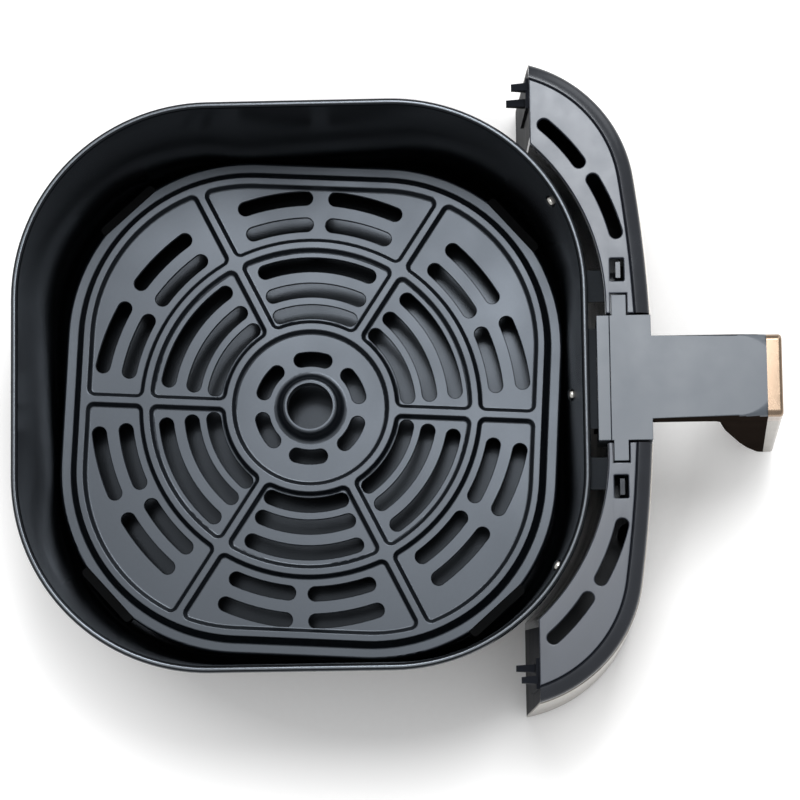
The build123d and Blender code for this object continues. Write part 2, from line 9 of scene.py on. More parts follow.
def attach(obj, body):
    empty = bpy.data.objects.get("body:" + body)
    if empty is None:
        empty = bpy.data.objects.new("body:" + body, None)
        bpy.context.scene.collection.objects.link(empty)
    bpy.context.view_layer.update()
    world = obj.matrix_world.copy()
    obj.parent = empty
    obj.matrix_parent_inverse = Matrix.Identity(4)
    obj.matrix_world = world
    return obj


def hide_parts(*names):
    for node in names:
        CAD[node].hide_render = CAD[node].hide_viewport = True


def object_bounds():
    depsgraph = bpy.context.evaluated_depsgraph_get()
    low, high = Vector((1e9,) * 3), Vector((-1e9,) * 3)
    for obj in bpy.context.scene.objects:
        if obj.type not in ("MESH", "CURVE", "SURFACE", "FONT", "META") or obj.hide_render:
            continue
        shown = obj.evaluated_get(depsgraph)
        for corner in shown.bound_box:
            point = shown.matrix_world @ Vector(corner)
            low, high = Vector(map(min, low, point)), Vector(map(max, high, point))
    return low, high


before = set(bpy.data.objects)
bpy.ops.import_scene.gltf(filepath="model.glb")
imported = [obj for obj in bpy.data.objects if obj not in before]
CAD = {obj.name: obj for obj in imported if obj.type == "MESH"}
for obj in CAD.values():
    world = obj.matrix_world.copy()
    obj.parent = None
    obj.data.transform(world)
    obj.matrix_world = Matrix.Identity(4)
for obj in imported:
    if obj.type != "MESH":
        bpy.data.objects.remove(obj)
cad_low, cad_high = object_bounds()

bl_info = {
    "name": "Air fryer drawer",
    "version": (1, 0, 0),
    "blender": (4, 5, 0),
    "location": "3D View > Sidebar > Drawer",
    "description": "Builds the visible pieces of an air fryer drawer round its CAD frame",
    "category": "Add Mesh",
}

MM = 0.001


# colour and node helpers


def linear(colour):
    """A linear RGBA colour from an sRGB hex value."""
    parts = [int(colour[i : i + 2], 16) / 255 for i in (1, 3, 5)]
    return (*[c / 12.92 if c <= 0.04045 else ((c + 0.055) / 1.055) ** 2.4 for c in parts], 1.0)


def shade(colour, times):
    """A colour made lighter or darker by a factor, with full opacity."""
    return (*[min(1.0, part * times) for part in colour[:3]], 1.0)


def put(material, kind, inputs=None, **settings):
    """Adds one node to a material, with its settings, its values and its links."""
    node = material.node_tree.nodes.new(kind)
    for name, value in settings.items():
        setattr(node, name, value)
    for name, value in (inputs or {}).items():
        socket = node.inputs[name]
        if isinstance(value, bpy.types.NodeSocket):
            material.node_tree.links.new(value, socket)
        else:
            socket.default_value = value
    return node


def per_metre(size_mm):
    """The scale that gives a noise or wave pattern features of this size in millimetres."""
    return 1000.0 / size_mm


def new_finish(name, **values):
    """A material with one Principled shader and the object's own coordinates."""
    material = bpy.data.materials.new(name)
    material.use_nodes = True
    material.node_tree.nodes.clear()
    shader = put(material, "ShaderNodeBsdfPrincipled", values)
    put(material, "ShaderNodeOutputMaterial", {"Surface": shader.outputs["BSDF"]})
    place = put(material, "ShaderNodeTexCoord").outputs["Object"]
    return material, shader, place


def spread(material, fac, low, high, from_low=0.0, from_high=1.0):
    """A number that runs from low to high with a pattern."""
    node = put(
        material,
        "ShaderNodeMapRange",
        {"Value": fac, "From Min": from_low, "From Max": from_high, "To Min": low, "To Max": high},
    )
    return node.outputs["Result"]


def tint(material, fac, first, second):
    """A colour that runs between two with a pattern."""
    node = put(
        material,
        "ShaderNodeMix",
        {"Factor": fac, "A": first, "B": second},
        data_type="RGBA",
    )
    return node.outputs["Result"]


def noise(material, place, size_mm, detail=2.0, rough=0.5):
    """The value of a noise pattern with features of a size in millimetres."""
    node = put(
        material,
        "ShaderNodeTexNoise",
        {"Vector": place, "Scale": per_metre(size_mm), "Detail": detail, "Roughness": rough},
    )
    return node.outputs["Fac"]


def bumpy(material, shader, height, strength, distance_mm):
    """Fine relief on the shader from a pattern, as deep as a distance in millimetres."""
    bump = put(
        material,
        "ShaderNodeBump",
        {"Height": height, "Strength": strength, "Distance": distance_mm * MM},
    )
    material.node_tree.links.new(bump.outputs["Normal"], shader.inputs["Normal"])


def drive(material, shader, **patterns):
    """Links patterns to the shader's sockets."""
    names = {"colour": "Base Color", "roughness": "Roughness"}
    for name, socket in patterns.items():
        material.node_tree.links.new(socket, shader.inputs[names[name]])


# finishes


def sprayed_nonstick(name, base, worn, rough, mirror=0.55):
    """PTFE coating sprayed on pressed steel and baked: satin black with an orange-peel skin.

    The eye sees broad soft reflections, a faint pebbled skin and thinly wiped patches.
    """
    material, shader, place = new_finish(
        name,
        **{
            "Roughness": rough,
            "IOR": 1.46,
            "Specular IOR Level": mirror,
            "Specular Tint": linear("#e4f0ff"),
        }
    )
    wiped = noise(material, place, 55.0, detail=3.0)
    flecks = noise(material, place, 1.4, detail=2.0)
    drive(
        material,
        shader,
        colour=tint(material, spread(material, flecks, 0.0, 1.0, 0.35, 0.75), shade(base, 1.0), shade(base, worn)),
        roughness=spread(material, wiped, rough - 0.05, rough + 0.06, 0.3, 0.7),
    )
    # the real orange peel is about 0.5 mm wide, drawn at 1.1 mm so that it shows
    bumpy(material, shader, noise(material, place, 1.1, detail=1.0), 0.10, 0.05)
    return material


def moulded_plastic(name, base, scuffed, rough, mirror=0.5, relief=0.08):
    """Injection-moulded plastic from a lightly spark-eroded tool.

    The eye sees an even satin skin, a very fine grain and slight cloudiness in the gloss.
    """
    material, shader, place = new_finish(
        name,
        **{
            "Roughness": rough,
            "IOR": 1.5,
            "Specular IOR Level": mirror,
            "Specular Tint": linear("#f0f5fb"),
        }
    )
    clouds = noise(material, place, 22.0, detail=4.0, rough=0.6)
    drive(
        material,
        shader,
        colour=tint(material, spread(material, clouds, 0.0, 1.0, 0.3, 0.7), shade(base, 1.0), shade(base, scuffed)),
        roughness=spread(material, clouds, rough - 0.04, rough + 0.05, 0.3, 0.7),
    )
    # the real grain is near 0.1 mm, drawn coarser so that it shows
    bumpy(material, shader, noise(material, place, 0.9, detail=2.0), relief, 0.03)
    return material


def brushed_steel(name, base, dull, rough, lines, mottle_mm=9.0):
    """Stainless sheet brushed with an abrasive belt, under a clear oil-streaked skin.

    The eye sees fine parallel lines, a long soft highlight and cloudy patches.
    """
    material, shader, place = new_finish(name, **{"Metallic": 1.0, "Roughness": rough})
    stretched = put(
        material, "ShaderNodeMapping", {"Vector": place, "Scale": lines}
    ).outputs["Vector"]
    hairlines = noise(material, stretched, 0.8, detail=4.0, rough=0.75)
    patches = noise(material, place, mottle_mm, detail=3.0)
    streaks = tint(
        material, spread(material, hairlines, 0.0, 1.0, 0.36, 0.64), shade(base, dull), shade(base, 1.0)
    )
    drive(
        material,
        shader,
        colour=tint(material, spread(material, patches, 0.0, 0.35, 0.4, 0.6), streaks, shade(base, dull)),
        roughness=spread(material, hairlines, rough - 0.06, rough + 0.12, 0.3, 0.7),
    )
    bumpy(material, shader, hairlines, 0.25, 0.03)
    return material


def rose_gold_plating(name, base, warm):
    """Rose-gold plating over moulded plastic: a thin metal film with a gentle satin gloss.

    The eye sees a pinkish copper mirror, softened, with faint milky marks where it is handled.
    """
    material, shader, place = new_finish(name, **{"Metallic": 1.0, "Roughness": 0.22})
    marks = noise(material, place, 7.0, detail=4.0, rough=0.65)
    drive(
        material,
        shader,
        colour=tint(material, spread(material, marks, 0.0, 1.0, 0.35, 0.7), shade(base, 1.0), shade(base, warm)),
        roughness=spread(material, marks, 0.18, 0.34, 0.3, 0.7),
    )
    bumpy(material, shader, noise(material, place, 1.6, detail=1.0), 0.05, 0.03)
    return material


def polished_metal(name, base, rough):
    """Turned or headed steel, nickel plated and tumbled: a small bright mirror with dull spots."""
    material, shader, place = new_finish(name, **{"Metallic": 1.0, "Roughness": rough})
    spots = noise(material, place, 1.5, detail=2.0)
    drive(
        material,
        shader,
        colour=tint(material, spots, shade(base, 1.0), shade(base, 0.78)),
        roughness=spread(material, spots, rough, rough + 0.15, 0.4, 0.7),
    )
    return material


def moulded_silicone(name, base):
    """Compression-moulded silicone rubber: matte, slightly dusty and soft at its edges."""
    material, shader, place = new_finish(
        name, **{"Roughness": 0.62, "IOR": 1.41, "Specular IOR Level": 0.05}
    )
    dust = noise(material, place, 4.0, detail=5.0, rough=0.7)
    drive(
        material,
        shader,
        colour=tint(material, spread(material, dust, 0.0, 1.0, 0.4, 0.75), shade(base, 1.0), shade(base, 2.2)),
        roughness=spread(material, dust, 0.55, 0.75, 0.3, 0.7),
    )
    bumpy(material, shader, noise(material, place, 0.8, detail=1.0), 0.06, 0.03)
    return material


def white_board(name, base):
    """Matt laminated board, the plain studio table: white with a barely seen tooth, and a painted glow that is nil
    round the drawer and grows further out.
    """
    material, shader, place = new_finish(
        name,
        **{"Roughness": 0.8, "Specular IOR Level": 0.2, "Emission Color": linear("#ffffff")},
    )
    # painted light: the board glows white, not at all within 0.15 m of the drawer's middle, up to half strength from
    # 0.23 m out
    centred = put(
        material, "ShaderNodeVectorMath", {0: place, 1: (0.0, -0.03, 0.0)}, operation="DISTANCE"
    )
    painted_glow = spread(material, centred.outputs["Value"], 0.0, 0.5, 0.15, 0.23)
    material.node_tree.links.new(painted_glow, shader.inputs["Emission Strength"])
    tooth = noise(material, place, 3.0, detail=2.0)
    drive(
        material,
        shader,
        colour=tint(material, tooth, linear(base), linear("#ffffff")),
        roughness=spread(material, tooth, 0.75, 0.85),
    )
    return material


# modelling helpers


def alone(piece):
    """Selects one object and nothing else."""
    bpy.ops.object.select_all(action="DESELECT")
    piece.select_set(True)
    bpy.context.view_layer.objects.active = piece


def block(name, x, y, z):
    """A cube between two places along each axis, in millimetres, open in edit mode."""
    bpy.ops.object.select_all(action="DESELECT")
    middle = [(low + high) / 2 * MM for low, high in (x, y, z)]
    bpy.ops.mesh.primitive_cube_add(size=1.0, location=middle)
    piece = bpy.context.object
    piece.name = name
    piece.scale = [(high - low) * MM for low, high in (x, y, z)]
    bpy.ops.object.transform_apply(location=True, rotation=True, scale=True)
    bpy.ops.object.mode_set(mode="EDIT")
    return piece


def pick(piece, kind, test):
    """Selects the faces, edges or vertices of the open mesh that pass a test."""
    bpy.ops.mesh.select_mode(type={"faces": "FACE", "edges": "EDGE", "verts": "VERT"}[kind])
    bpy.ops.mesh.select_all(action="DESELECT")
    mesh = bmesh.from_edit_mesh(piece.data)
    found = [part for part in getattr(mesh, kind) if test(part)]
    for part in found:
        part.select_set(True)
    mesh.select_flush_mode()
    bmesh.update_edit_mesh(piece.data)
    return len(found)


def at(value, other, slack=0.02):
    """Whether a coordinate in metres lies at a place in millimetres."""
    return abs(value / MM - other) < slack


def cut(place, normal):
    """Divides the open mesh along a plane through a point in millimetres."""
    bpy.ops.mesh.select_all(action="SELECT")
    bpy.ops.mesh.bisect(plane_co=[p * MM for p in place], plane_no=normal)


def slice_off(place, normal):
    """Cuts away what lies beyond a plane through a point in millimetres, and closes the cut."""
    bpy.ops.mesh.select_all(action="SELECT")
    bpy.ops.mesh.bisect(
        plane_co=[p * MM for p in place],
        plane_no=Vector(normal).normalized(),
        clear_outer=True,
        use_fill=True,
    )


def round_edges(width, segments=3, profile=0.5):
    """Rounds the selected edges of the open mesh."""
    bpy.ops.mesh.bevel(
        offset=width * MM, segments=segments, profile=profile, affect="EDGES", clamp_overlap=True
    )


def sharp_edges(piece, least=30.0, also=None):
    """Selects the edges of the open mesh where its faces turn by more than some degrees."""
    limit = math.radians(least)

    def test(edge):
        turned = len(edge.link_faces) == 2 and edge.calc_face_angle(0.0) > limit
        return turned and (also is None or also(edge))

    return pick(piece, "edges", test)


def middle_of(edge):
    """The middle of an edge, in millimetres."""
    return (edge.verts[0].co + edge.verts[1].co) / 2 / MM


def close_up(piece, smooth=32.0):
    """Merges doubles, turns the faces outwards, leaves edit mode and smooths the gentle edges."""
    bpy.ops.mesh.select_all(action="SELECT")
    bpy.ops.mesh.remove_doubles(threshold=0.005 * MM)
    bpy.ops.mesh.normals_make_consistent(inside=False)
    bpy.ops.object.mode_set(mode="OBJECT")
    alone(piece)
    bpy.ops.object.shade_smooth_by_angle(angle=math.radians(smooth))
    bpy.ops.object.modifier_add(type="WEIGHTED_NORMAL")
    piece.modifiers[-1].keep_sharp = True
    bpy.ops.object.modifier_apply(modifier=piece.modifiers[-1].name)


def hand_over(piece, finish, slot, body, *nodes):
    """Gives a piece its finish and its body, and hides the CAD nodes that it stands for."""
    piece.data.materials.clear()
    piece.data.materials.append(finish)
    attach(piece, body)
    if nodes:
        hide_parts(*nodes)
    return piece


def turning(outline):
    """Twice the signed area of an outline."""
    after = outline[1:] + outline[:1]
    return sum(a[0] * b[1] - b[0] * a[1] for a, b in zip(outline, after))


def flat_shape(name, outlines, low, high, edge, segments=2):
    """A flat plate between two heights from closed outlines in millimetres, with rounded edges.

    The first outline is the outside and the rest are holes.
    """
    drawing = bpy.data.curves.new(name, "CURVE")
    drawing.dimensions = "2D"
    drawing.fill_mode = "BOTH"
    for number, outline in enumerate(outlines):
        wanted = 1 if number == 0 else -1
        points = outline if turning(outline) * wanted > 0 else outline[::-1]
        line = drawing.splines.new("POLY")
        line.points.add(len(points) - 1)
        for point, (x, y) in zip(line.points, points):
            point.co = (x * MM, y * MM, 0.0, 1.0)
        line.use_cyclic_u = True
    drawing.extrude = ((high - low) / 2 - edge) * MM
    drawing.bevel_depth = edge * MM
    drawing.bevel_resolution = segments
    drawing.offset = -edge * MM
    piece = bpy.data.objects.new(name, drawing)
    bpy.context.scene.collection.objects.link(piece)
    piece.location.z = (low + high) / 2 * MM
    alone(piece)
    bpy.ops.object.convert(target="MESH")
    piece = bpy.context.object
    bpy.ops.object.transform_apply(location=True, rotation=True, scale=True)
    return piece


def arc(centre, radius, start, stop, steps):
    """Points along an arc, with angles in degrees."""
    angles = [math.radians(start + (stop - start) * i / steps) for i in range(steps + 1)]
    return [(centre[0] + radius * math.cos(a), centre[1] + radius * math.sin(a)) for a in angles]


def circle_through(a, b, c):
    """Centre and radius of the circle through three points."""
    d = 2 * (a[0] * (b[1] - c[1]) + b[0] * (c[1] - a[1]) + c[0] * (a[1] - b[1]))
    sa, sb, sc = (p[0] ** 2 + p[1] ** 2 for p in (a, b, c))
    x = (sa * (b[1] - c[1]) + sb * (c[1] - a[1]) + sc * (a[1] - b[1])) / d
    y = (sa * (c[0] - b[0]) + sb * (a[0] - c[0]) + sc * (b[0] - a[0])) / d
    return (x, y), math.dist((x, y), a)


def arc_slot(points, width, steps=20):
    """The outline of a slot with round ends along the arc through three points."""
    centre, radius = circle_through(*points)
    first, last = (
        math.degrees(math.atan2(p[1] - centre[1], p[0] - centre[0])) for p in (points[0], points[2])
    )
    last = first + (last - first + 180) % 360 - 180
    way = 1 if last > first else -1
    half = width / 2
    outer = arc(centre, radius + half, first, last, steps)
    end = arc(points[2], half, last, last + 180 * way, 10)[1:-1]
    inner = arc(centre, radius - half, last, first, steps)
    start = arc(points[0], half, first + 180, first + 180 + 180 * way, 10)[1:-1]
    return outer + end + inner + start


# the drawer's outlines, in millimetres, seen from above

BOW_RADIUS, FRONT_Y = 620.0, 154.3
CORNER_RADIUS, CORNER_X = 62.0, 81.0
BOW_Y = BOW_RADIUS - FRONT_Y
CORNER_Y = BOW_Y - math.sqrt((BOW_RADIUS - CORNER_RADIUS) ** 2 - CORNER_X**2)
PANEL_END_Y, COVER_END_Y = -97.0, -103.0
TOP_Z, FOOT_Z = 109.0, 3.0
BACK_HALF, BACK_RADIUS = (130.9, 134.8), 98.0
ROOT_HALF = 27.6


def front_outline(inward, end_y, from_x):
    """The front panel's outer edge on the right, moved inwards, from near the handle to its end."""
    bow = BOW_RADIUS - inward
    first = -90.0 + math.degrees(math.asin(from_x / bow))
    meet = math.degrees(math.atan2(CORNER_Y - BOW_Y, CORNER_X))
    corner = CORNER_RADIUS - inward
    last = math.degrees(math.asin((end_y - CORNER_Y) / corner))
    along = arc((0.0, BOW_Y), bow, first, meet, 14)
    return along + arc((CORNER_X, CORNER_Y), corner, meet, last, 30)[1:]


def cover_outline(inward, gap, tongue):
    """The right top cover: outer edge, end, edge beside the pan and the notch for the tongue."""
    from_x = ROOT_HALF + gap
    outer = front_outline(inward, COVER_END_Y, from_x)
    centre = (BACK_HALF[0] - BACK_RADIUS, -(BACK_HALF[1] - BACK_RADIUS))
    first = math.degrees(math.asin((COVER_END_Y - centre[1]) / BACK_RADIUS))
    inner = arc(centre, BACK_RADIUS, first, -90.0, 30)
    reach, near, far = tongue
    notch = [(from_x, -BACK_HALF[1]), (from_x, near), (reach, near), (reach, far), (from_x, far)]
    return outer + inner + notch


def rounded_box(middle, size, radius, steps=5):
    """The outline of a small window with round corners."""
    points = []
    for number, (sx, sy) in enumerate(((1, 1), (-1, 1), (-1, -1), (1, -1))):
        centre = (middle[0] + sx * (size[0] / 2 - radius), middle[1] + sy * (size[1] / 2 - radius))
        points += arc(centre, radius, 90 * number, 90 * number + 90, steps)
    return points


# pieces


def draw_in(steps):
    """Steps the open mesh's one selected face inwards and along its normal, in millimetres."""
    for inward, along in steps:
        bpy.ops.mesh.inset(thickness=max(inward, 0.0005) * MM, depth=along * MM, use_even_offset=True)


def rim_face(name, half, radius, height, segments):
    """A flat face with the pan's outline, made from a plane by rounding its corners."""
    bpy.ops.object.select_all(action="DESELECT")
    bpy.ops.mesh.primitive_plane_add(size=1.0, location=(0, 0, height * MM))
    piece = bpy.context.object
    piece.name = name
    piece.scale = (2 * half[0] * MM, 2 * half[1] * MM, 1.0)
    bpy.ops.object.transform_apply(location=True, rotation=True, scale=True)
    bpy.ops.object.mode_set(mode="EDIT")
    bpy.ops.mesh.select_all(action="SELECT")
    bpy.ops.mesh.bevel(offset=radius * MM, segments=segments, affect="VERTICES", clamp_overlap=False)
    bpy.ops.mesh.select_all(action="SELECT")
    return piece


def quarter(radius, steps):
    """The steps of a quarter circle that turns from straight down the wall to flat floor."""
    places = [
        (radius * (1 - math.cos(a)), radius * math.sin(a))
        for a in (math.pi / 2 * i / steps for i in range(steps + 1))
    ]
    return [(b[0] - a[0], b[1] - a[1]) for a, b in zip(places, places[1:])]


def make_pan(sizes):
    """Drawn steel pan with a rolled rim: one skin inside, one outside, joined under the rim."""
    bead = sizes.bead / MM
    wall = sizes.wall / MM
    fall = math.tan(sizes.draft)
    rim_low = 112.0 - bead
    crown = bead / 2
    inside = rim_face("pan_shell", (126.4, 127.0), 87.0, rim_low, sizes.corner_steps)
    draw_in([(0.0, bead - crown)])
    turns = [math.pi * i / 10 for i in range(11)]
    roll = [(crown * (1 - math.cos(a)), crown * math.sin(a)) for a in turns]
    draw_in([(b[0] - a[0], b[1] - a[1]) for a, b in zip(roll, roll[1:])])
    foot = sizes.floor_radius / MM - wall
    drop = 112.0 - crown - wall - foot
    draw_in([(drop * fall / 4, -drop / 4)] * 4)
    draw_in([(inward, -down) for inward, down in quarter(foot, 8)])
    bpy.ops.object.mode_set(mode="OBJECT")
    outside = rim_face("pan_outside", (126.4, 127.0), 87.0, rim_low, sizes.corner_steps)
    bpy.ops.mesh.flip_normals()
    draw_in([(bead - wall, 0.0)])
    foot = sizes.floor_radius / MM
    draw_in([((rim_low - foot) * fall / 4, (rim_low - foot) / 4)] * 4)
    draw_in(quarter(foot, 8))
    bpy.ops.object.mode_set(mode="OBJECT")
    alone(inside)
    outside.select_set(True)
    bpy.ops.object.join()
    bpy.ops.object.mode_set(mode="EDIT")
    close_up(inside, 40.0)
    hand_over(inside, FINISH["pan_coating"], "pan_coating", "drawer", "pan")
    # painted highlight: the crown of the rolled rim takes a lighter coating than the rest of the pan
    inside.data.materials.append(FINISH["rim_coating"])
    for face in inside.data.polygons:
        face.material_index = int(face.center.z > (112.0 - bead * 0.05) * MM)
    return inside


def make_rivet(number, place, lean):
    """A domed rivet head inside the pan: a sphere cut in half, flattened, with a thin brim."""
    head = 2.8
    bpy.ops.object.select_all(action="DESELECT")
    bpy.ops.mesh.primitive_uv_sphere_add(segments=32, ring_count=16, radius=head * MM)
    piece = bpy.context.object
    piece.name = "rivet_head_" + str(number)
    bpy.ops.object.mode_set(mode="EDIT")
    slice_off((0, 0, -0.01), (0, 0, -1))
    bpy.ops.mesh.select_all(action="SELECT")
    bpy.ops.transform.resize(value=(1, 1, 0.62), center_override=(0, 0, 0))
    pick(piece, "faces", lambda face: face.normal.z < -0.9)
    bpy.ops.mesh.extrude_region_move(TRANSFORM_OT_translate={"value": (0, 0, -0.6 * MM)})
    bpy.ops.mesh.extrude_region_move(TRANSFORM_OT_translate={"value": (0, 0, -2.4 * MM)})
    close_up(piece, 50.0)
    piece.rotation_euler = lean
    piece.location = [p * MM for p in place]
    bpy.ops.object.transform_apply(location=True, rotation=True, scale=True)
    nodes = ["pan_rivets"] if number == 1 else []
    return hand_over(piece, FINISH["chrome"], "chrome", "drawer", *nodes)


def make_rivets(sizes):
    """Three rivets through the pan's front wall, in line with the wall's own lean."""
    fall = math.tan(sizes.draft)
    for number, (x, z) in enumerate(((-81.0, 97.0), (0.0, 55.0), (81.0, 97.0)), 1):
        inward = 3.0 + (112.0 - z) * fall
        radius = 87.0 - inward
        across = max(abs(x) - 39.4, 0.0)
        turn = math.copysign(math.asin(across / radius), x)
        y = -40.0 - math.sqrt(radius**2 - across**2)
        make_rivet(number, (x, y + 0.3, z), (math.pi / 2 - sizes.draft + math.pi, 0.0, turn))


def make_cover(side, sizes):
    """Top cover of the front panel: a moulded plate with vents, a window and softened edges."""
    band = sizes.band_width / MM + sizes.seam / MM
    tongue = (37.4, -136.7, -144.1)
    holes = [
        arc_slot(((113.3, -109.2), (105.8, -116.9), (96.4, -124.3)), 5.8),
        arc_slot(((88.2, -130.3), (77.4, -135.6), (64.6, -139.9)), 5.8),
        rounded_box((47.9, -140.0), (10.2, 6.2), 0.6),
    ]
    outlines = [cover_outline(band, 1.0, tongue)] + holes
    outlines = [[(side * x, y) for x, y in outline] for outline in outlines]
    name = "cover_right" if side > 0 else "cover_left"
    piece = flat_shape(name, outlines, TOP_Z - 3.0, TOP_Z, sizes.edge / MM, 3)
    bpy.ops.object.mode_set(mode="EDIT")
    close_up(piece, 50.0)
    node = "fascia_" + name
    return hand_over(piece, FINISH["cover_plastic"], "cover_plastic", "drawer", node)


def make_band(side, sizes):
    """Crowned rim strip round the front panel: its section, spun along the bow and the corner."""
    width = sizes.band_width / MM - 0.1
    crown = [
        (-0.35, 102.5), (-0.35, 105.4), (-0.2, 106.3), (0.5, 107.2), (1.6, 107.95),
        (3.2, 108.6), (5.0, 108.95), (width - 0.2, 109.0), (width, 108.8), (width, 106.2),
        (1.2, 102.5),
    ]  # fmt: skip
    bpy.ops.object.select_all(action="DESELECT")
    bpy.ops.mesh.primitive_circle_add(vertices=len(crown), fill_type="NGON")
    piece = bpy.context.object
    piece.name = "band_right" if side > 0 else "band_left"
    for vertex, (inward, high) in zip(piece.data.vertices, crown):
        vertex.co = (0.0, (-FRONT_Y + inward) * MM, high * MM)
    meet = math.atan2(CORNER_Y - BOW_Y, CORNER_X) + math.pi / 2
    bpy.ops.object.mode_set(mode="EDIT")
    bpy.ops.mesh.select_all(action="SELECT")
    spin = {"axis": (0, 0, -1)}
    bpy.ops.mesh.spin(steps=16, angle=meet, center=(0, BOW_Y * MM, 0), **spin)
    rest = math.pi / 2 - meet
    bpy.ops.mesh.spin(steps=32, angle=rest, center=(CORNER_X * MM, CORNER_Y * MM, 0), **spin)
    slice_off((ROOT_HALF + 1.0, 0, 0), (-1, 0, 0))
    slice_off((0, COVER_END_Y, TOP_Z), (0, TOP_Z - FOOT_Z, PANEL_END_Y - COVER_END_Y))
    if side < 0:
        bpy.ops.mesh.select_all(action="SELECT")
        bpy.ops.transform.resize(value=(-1, 1, 1), center_override=(0, 0, 0))
    close_up(piece, 35.0)
    return hand_over(piece, FINISH["band_plastic"], "dark_plastic", "drawer")


ARM_HALF, ARM_TOP = 18.3, 109.0
SHOULDER_Y = -192.0
FACE_BACK = ((-204.6, 109.0), (-209.0, 3.0))
FACE_FRONT = ((-211.4, 109.0), (-213.6, 3.0))
GRIP_SIDE = ((-184.5, 92.0), (-185.3, 78.0), (-187.6, 63.0), (-191.2, 48.0), (-195.4, 30.0), (-199.6, 16.0))


def lean_at(line, height):
    """Y on a leaning line of the handle's face at a height, in millimetres."""
    (high_y, high_z), (low_y, low_z) = line
    return high_y + (low_y - high_y) * (high_z - height) / (high_z - low_z)


def make_handle_top(sizes):
    """Root block, tongues and arm in one moulding: extruded out of the block, edges rounded."""
    piece = block("handle_top", (-ROOT_HALF, ROOT_HALF), (-154.3, -136.3), (85.0, ARM_TOP))
    for x in (-ARM_HALF, ARM_HALF):
        cut((x, 0, 0), (1, 0, 0))
    for z in (100.1, 104.0):
        cut((0, 0, z), (0, 0, 1))
    for y in (-143.6, -137.2):
        cut((0, y, 0), (0, 1, 0))

    def arm_end(face):
        middle = face.calc_center_median()
        return face.normal.y < -0.9 and abs(middle.x) < ARM_HALF * MM and middle.z > 100.1 * MM

    pick(piece, "faces", arm_end)
    reach = (-154.3 - FACE_BACK[0][0]) * MM
    bpy.ops.mesh.extrude_region_move(TRANSFORM_OT_translate={"value": (0, -reach, 0)})
    for side in (-1, 1):

        def tongue_side(face):
            middle = face.calc_center_median()
            inside = -143.6 * MM < middle.y < -137.2 * MM and middle.z > 104.0 * MM
            return face.normal.x * side > 0.9 and abs(middle.x) > 27.0 * MM and inside

        pick(piece, "faces", tongue_side)
        bpy.ops.mesh.extrude_region_move(TRANSFORM_OT_translate={"value": (side * 9.0 * MM, 0, 0)})
    bpy.ops.mesh.select_all(action="SELECT")
    bpy.ops.mesh.dissolve_limited(angle_limit=math.radians(2))

    def long_edge(edge):
        middle = middle_of(edge)
        run = abs(edge.verts[0].co.y - edge.verts[1].co.y)
        return run > 0.03 and abs(abs(middle.x) - ARM_HALF) < 0.1 and middle.z > 108.9

    sharp_edges(piece, 40.0, long_edge)
    roll = 1.2
    round_edges(roll, 6)
    # the arm's shoulders roll off faster and faster towards the trim
    steps = [SHOULDER_Y - 1.0 * i for i in range(12)]
    for y in steps:
        cut((0, y, 0), (0, 1, 0))
    for y in steps + [FACE_BACK[0][0]]:
        way = (SHOULDER_Y - y) / (SHOULDER_Y - FACE_BACK[0][0])
        grow = sizes.shoulder * max(0.0, way) ** 2.0
        for side in (-1, 1):

            def on_roll(vert):
                beside = side * vert.co.x > (ARM_HALF - roll - 0.1) * MM
                return beside and vert.co.z > (ARM_TOP - roll - 0.1) * MM and at(vert.co.y, y, 0.3)

            if pick(piece, "verts", on_roll):
                corner = (side * ARM_HALF * MM, y * MM, ARM_TOP * MM)
                size = (1.0 + grow, 1.0, 1.0 + 0.35 * grow)
                bpy.ops.transform.resize(value=size, center_override=corner)
    slice_off((0, FACE_BACK[0][0], ARM_TOP), (0, -106.0, 4.4))
    sharp_edges(piece, 50.0, lambda edge: middle_of(edge).y > -190.0)
    round_edges(sizes.edge / MM, 3)
    close_up(piece, 38.0)
    hand_over(piece, FINISH["handle_plastic"], "handle_plastic", "drawer", "handle_upper_shell")
    # painted shade: the arm's flat sides take the dark, unreflecting grip plastic in place of the shade they stand
    # in
    piece.data.materials.append(FINISH["grip_plastic"])
    for face in piece.data.polygons:
        face.material_index = int(abs(face.normal.x) > 0.8 and face.center.y < -0.1545)
    return piece


def flare(piece, sizes):
    """Widens the open mesh towards the foot of the grip, a little more at every level."""
    levels = [88.0 - 8.0 * i for i in range(11)]
    for z in levels:
        cut((0, 0, z), (0, 0, 1))
    mesh = bmesh.from_edit_mesh(piece.data)
    for vert in mesh.verts:
        down = min(1.0, max(0.0, (92.0 - vert.co.z / MM) / 89.0))
        vert.co.x *= 1.0 + sizes.flare / MM / ARM_HALF * down
    bmesh.update_edit_mesh(piece.data)


def make_handle_back(sizes):
    """Closing plate behind the root's fine seam, with a stepped rear edge."""
    piece = block("handle_back", (-ROOT_HALF, ROOT_HALF), (-136.1, -130.5), (85.0, ARM_TOP))
    pick(piece, "faces", lambda face: face.normal.y > 0.9)
    draw_in([(1.2, 0.0), (0.0, -0.6)])
    sharp_edges(piece, 40.0)
    round_edges(sizes.edge / MM * 0.7, 3)
    close_up(piece, 38.0)
    return hand_over(
        piece, FINISH["handle_plastic"], "handle_plastic", "drawer", "handle_rear_plate"
    )


